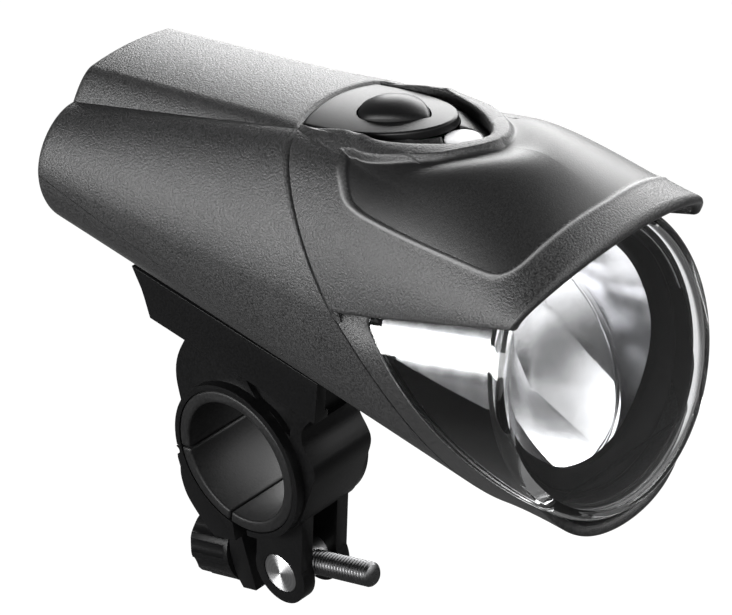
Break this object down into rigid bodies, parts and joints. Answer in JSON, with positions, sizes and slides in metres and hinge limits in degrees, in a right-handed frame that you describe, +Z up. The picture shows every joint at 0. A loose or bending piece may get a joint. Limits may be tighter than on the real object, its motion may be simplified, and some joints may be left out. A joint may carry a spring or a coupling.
{
  "type": "bike headlight",
  "caption": "Battery bike headlight: black housing with a hooded round lens, push button on top and a slide-off shoe on a hinged handlebar clamp with a swing bolt.",
  "frame": {"origin": "centre of the handlebar clamp's bore", "axes": "+X along the handlebar, -Y along the light beam (forward), +Z up"},
  "size_m": [0.0548, 0.1311, 0.1153],
  "materials": {
    "shell_plastic": "black moulded plastic with a fine spark-eroded grain",
    "satin_plastic": "black satin plastic",
    "bracket_plastic": "black satin plastic",
    "clear_lens": "clear polished plastic",
    "seal_rubber": "black soft rubber",
    "trim_plastic": "gloss black plastic",
    "bright_reflector": "vacuum-metallised",
    "board": "green circuit board",
    "led_white": "white board",
    "led_chip": "yellow phosphor",
    "sink": "plain",
    "window_clear": "clear moulded plastic",
    "cell_wrap": "shrink sleeve",
    "contact": "plated",
    "steel": "zinc plated",
    "nut_steel": "turned",
    "rod_black": "blackened steel",
    "liner_rubber": "dark grey soft plastic"
  },
  "bodies": {
    "bracket": {"clamp_body": "bracket_plastic", "upper_liner": "liner_rubber", "jaw_hinge_pin": "steel"},
    "jaw": {"clamp_jaw": "bracket_plastic", "lower_liner": "liner_rubber"},
    "nut": {"barrel_nut": "nut_steel"},
    "rod": {"screw_rod": "rod_black"},
    "knob": {"screw_knob": "bracket_plastic"},
    "button": {"power_button": "satin_plastic"},
    "plug": {"charge_cover": "seal_rubber"},
    "lamp": {"rear_housing": "shell_plastic", "housing_base": "shell_plastic", "end_cap": "satin_plastic", "head_ring": "shell_plastic", "visor": "shell_plastic", "front_lens": "clear_lens", "lens_seal": "seal_rubber", "trim_ring": "trim_plastic", "reflector": "bright_reflector", "led_carrier": "satin_plastic", "led_board": "led_white", "led_emitter": "led_chip", "heat_sink": "sink", "control_board": "board", "tact_switch": "trim_plastic", "switch_panel": "satin_plastic", "notch_floor": "shell_plastic", "indicator_window": "window_clear", "indicator_led": "led_white", "battery_cradle": "satin_plastic", "battery_cells": "cell_wrap", "contact_springs": "contact", "contact_plates": "contact", "charge_socket": "trim_plastic", "end_cap_screws": "steel", "slide_shoe": "bracket_plastic", "shoe_screws": "steel"}
  },
  "joints": [
    {"name": "lamp_slide", "type": "slide", "parent": "bracket", "child": "lamp", "axis": [0, 0.9205, 0.3907], "range_m": [0, 0.045]},
    {"name": "button_press", "type": "slide", "parent": "lamp", "child": "button", "axis": [0, 0.0958, -0.9954], "range_m": [0, 0.001], "stiffness_N_per_m": 300},
    {"name": "plug_pull", "type": "slide", "parent": "lamp", "child": "plug", "axis": [0, 0.9496, 0.3134], "range_m": [0, 0.006]},
    {"name": "bolt_swing", "type": "hinge", "parent": "bracket", "child": "nut", "pos_m": [0, -0.0001, -0.0262], "axis": [-1, 0, 0], "range_deg": [0, 30]},
    {"name": "screw_travel", "type": "slide", "parent": "nut", "child": "rod", "axis": [0, 1, 0], "range_m": [0, 0.008]},
    {"name": "knob_spin", "type": "hinge", "parent": "rod", "child": "knob", "pos_m": [0, 0.0143, -0.0262], "axis": [0, 1, 0], "range_deg": [0, 3600]},
    {"name": "jaw_open", "type": "hinge", "parent": "bracket", "child": "jaw", "pos_m": [0, 0.0171, 0.0002], "axis": [1, 0, 0], "range_deg": [0, 16]}
  ],
  "couplings": [
    {"joint": "knob_spin", "follows": "screw_travel", "rad_per_m": 7854},
    {"joint": "jaw_open", "follows": "screw_travel", "rad_per_m": 34.907}
  ]
}
